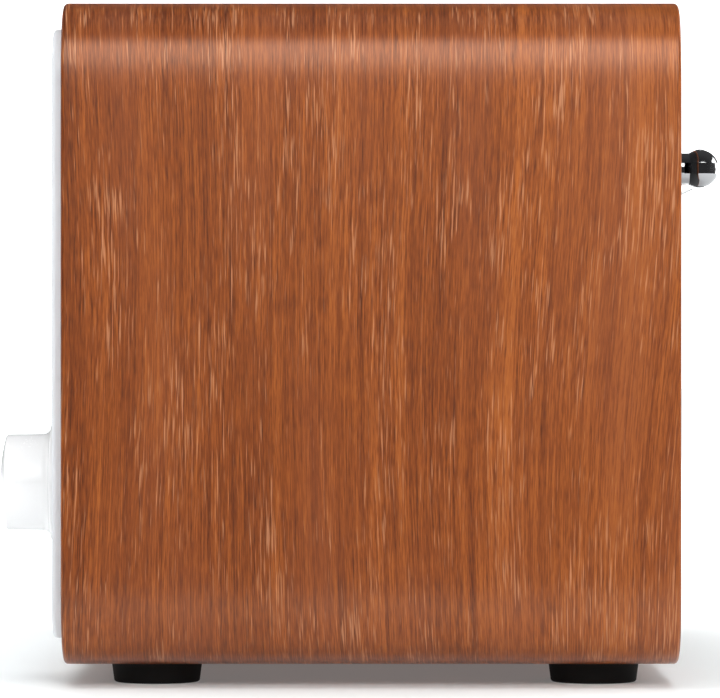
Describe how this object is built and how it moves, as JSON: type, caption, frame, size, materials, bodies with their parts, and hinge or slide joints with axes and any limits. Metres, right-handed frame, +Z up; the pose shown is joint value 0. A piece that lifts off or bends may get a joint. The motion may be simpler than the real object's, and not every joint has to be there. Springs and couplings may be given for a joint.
{
  "type": "tabletop radio",
  "caption": "Wood-veneer tabletop radio with a moulded front panel, round speaker grille, tuning knob, rubber feet and a folding telescopic antenna at the rear.",
  "frame": {"origin": "on the table, under the middle of the box that holds the whole radio", "axes": "+X to the right and +Y to the back as seen from the front, +Z up"},
  "size_m": [0.25, 0.1616, 0.1515],
  "materials": {
    "walnut_veneer": "satin",
    "plain_wood": "raw",
    "white_plastic": "satin moulded",
    "knob_white": "gloss moulded",
    "black_rubber": "matt",
    "grille_white": "satin moulded",
    "black_cloth": "woven",
    "black_plastic": "fine texture",
    "window_acrylic": "gloss",
    "display_dark": "matt",
    "chrome": "polished",
    "zinc_steel": "zinc plated",
    "black_steel": "black",
    "cone_paper": "matt",
    "surround_rubber": "matt",
    "spider_cloth": "stiff woven",
    "coil_copper": "wound",
    "ferrite": "sintered",
    "circuit_board": "solder mask",
    "aluminium": "extruded",
    "capacitor_sleeve": "shrunk sleeve",
    "brass": "plain",
    "wire_sleeve": "soft",
    "gasket_foam": "closed foam"
  },
  "bodies": {
    "cabinet": {"cabinet_shell": "walnut_veneer", "front_corner_blocks": "plain_wood", "rear_corner_blocks": "plain_wood", "foot_front_left": "black_rubber", "foot_front_right": "black_rubber", "foot_rear_left": "black_rubber", "foot_rear_right": "black_rubber", "foot_screws": "zinc_steel", "front_panel": "white_plastic", "front_panel_screws": "zinc_steel", "speaker_grille": "grille_white", "grille_cloth": "black_cloth", "speaker_gasket": "gasket_foam", "speaker_basket": "black_steel", "speaker_surround": "surround_rubber", "speaker_spider": "spider_cloth", "speaker_top_plate": "zinc_steel", "speaker_magnet": "ferrite", "speaker_yoke": "zinc_steel", "speaker_screws": "zinc_steel", "display_window": "window_acrylic", "display_module": "display_dark", "control_board": "circuit_board", "encoder_body": "zinc_steel", "encoder_nut": "zinc_steel", "push_switches": "black_plastic", "rear_panel": "black_plastic", "rear_panel_screws": "black_steel", "bass_port": "black_plastic", "main_board": "circuit_board", "board_standoffs": "brass", "board_screws": "zinc_steel", "tuner_module": "zinc_steel", "amplifier_heatsink": "aluminium", "filter_capacitors": "capacitor_sleeve", "audio_jacks": "black_plastic", "dc_jack": "black_plastic", "speaker_lead": "wire_sleeve", "antenna_lead": "wire_sleeve", "control_cable": "wire_sleeve", "antenna_bushing": "black_plastic"},
    "knob_plunger": {"encoder_plunger": "black_plastic"},
    "knob": {"tuning_knob": "knob_white", "encoder_shaft": "aluminium"},
    "speaker_diaphragm": {"speaker_cone": "cone_paper", "speaker_dust_cap": "cone_paper", "voice_coil": "coil_copper"},
    "antenna_stem": {"antenna_base": "chrome", "antenna_nut": "zinc_steel", "antenna_pivot_pin": "chrome"},
    "antenna_arm": {"antenna_knuckle": "chrome", "antenna_tube_1": "chrome"},
    "antenna_section_2": {"antenna_tube_2": "chrome"},
    "antenna_section_3": {"antenna_tube_3": "chrome"},
    "antenna_section_4": {"antenna_rod_4": "chrome", "antenna_tip": "chrome"},
    "power_button_body": {"power_button": "knob_white"},
    "source_button_body": {"source_button": "knob_white"},
    "menu_button_body": {"menu_button": "knob_white"},
    "preset_button_body": {"preset_button": "knob_white"}
  },
  "joints": [
    {"name": "knob_push", "type": "slide", "parent": "cabinet", "child": "knob_plunger", "axis": [0, 1, 0], "range_m": [0, 0.0005], "stiffness_N_per_m": 8000},
    {"name": "knob_turn", "type": "hinge", "parent": "knob_plunger", "child": "knob", "pos_m": [0.086, -0.06732, 0.0444], "axis": [0, 1, 0], "continuous": true},
    {"name": "speaker_travel", "type": "slide", "parent": "cabinet", "child": "speaker_diaphragm", "axis": [0, 1, 0], "range_m": [-0.0012, 0.0012], "stiffness_N_per_m": 1500, "deforming": ["speaker_surround", "speaker_spider"]},
    {"name": "antenna_swivel", "type": "hinge", "parent": "cabinet", "child": "antenna_stem", "pos_m": [0.1, 0.07673, 0.115], "axis": [0, 1, 0], "range_deg": [0, 180]},
    {"name": "antenna_elbow", "type": "hinge", "parent": "antenna_stem", "child": "antenna_arm", "pos_m": [0.1, 0.07673, 0.115], "axis": [0, 0, -1], "range_deg": [0, 180]},
    {"name": "antenna_slide_2", "type": "slide", "parent": "antenna_arm", "child": "antenna_section_2", "axis": [-1, 0, 0], "range_m": [0, 0.152]},
    {"name": "antenna_slide_3", "type": "slide", "parent": "antenna_section_2", "child": "antenna_section_3", "axis": [-1, 0, 0], "range_m": [0, 0.152]},
    {"name": "antenna_slide_4", "type": "slide", "parent": "antenna_section_3", "child": "antenna_section_4", "axis": [-1, 0, 0], "range_m": [0, 0.152]},
    {"name": "power_button_press", "type": "slide", "parent": "cabinet", "child": "power_button_body", "axis": [0, 1, 0], "range_m": [0, 0.0004], "stiffness_N_per_m": 5000},
    {"name": "source_button_press", "type": "slide", "parent": "cabinet", "child": "source_button_body", "axis": [0, 1, 0], "range_m": [0, 0.0004], "stiffness_N_per_m": 5000},
    {"name": "menu_button_press", "type": "slide", "parent": "cabinet", "child": "menu_button_body", "axis": [0, 1, 0], "range_m": [0, 0.0004], "stiffness_N_per_m": 5000},
    {"name": "preset_button_press", "type": "slide", "parent": "cabinet", "child": "preset_button_body", "axis": [0, 1, 0], "range_m": [0, 0.0004], "stiffness_N_per_m": 5000}
  ]
}
